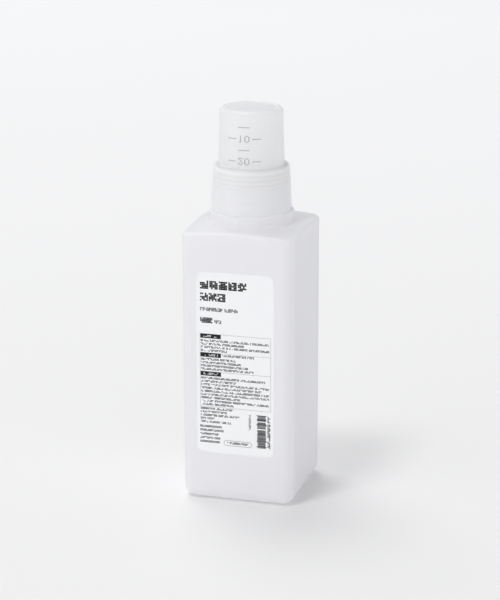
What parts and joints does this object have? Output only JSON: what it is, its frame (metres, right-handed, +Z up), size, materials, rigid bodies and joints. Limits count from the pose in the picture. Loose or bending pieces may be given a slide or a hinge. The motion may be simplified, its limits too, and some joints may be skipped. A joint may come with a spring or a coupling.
{
  "type": "laundry detergent bottle",
  "caption": "Square translucent refill bottle for liquid laundry detergent, with a screw-on measuring cap with moulded dose marks, an inner pour spout and a white film label on the front.",
  "frame": {"origin": "centre of the base, on the surface that the bottle stands on", "axes": "+Z up along the neck's axis, the label faces -Y, +X to the right of the label"},
  "size_m": [0.061, 0.0611, 0.21],
  "materials": {
    "bottle_polyethylene": "milky, translucent, fine matt blow-moulded skin",
    "spout_polypropylene": "milky, translucent, smooth",
    "seal_foam": "soft, white, matt",
    "cap_polypropylene": "milky, translucent, smooth with a soft gloss",
    "label_film": "white film with dark grey print, satin"
  },
  "bodies": {
    "bottle": {"bottle": "bottle_polyethylene", "pour_spout": "spout_polypropylene", "front_label": "label_film"},
    "seal": {"seal_ring": "seal_foam"},
    "cap": {"measuring_cap": "cap_polypropylene"}
  },
  "joints": [
    {"name": "cap_lift", "type": "slide", "parent": "bottle", "child": "seal", "axis": [0, 0, 1], "range_m": [0, 0.00563]},
    {"name": "cap_turn", "type": "hinge", "parent": "seal", "child": "cap", "pos_m": [0, 0, 0.1786], "axis": [0, 0, 1], "range_deg": [0, 450]}
  ],
  "couplings": [
    {"joint": "cap_lift", "follows": "cap_turn", "m_per_rad": 0.0007162}
  ]
}
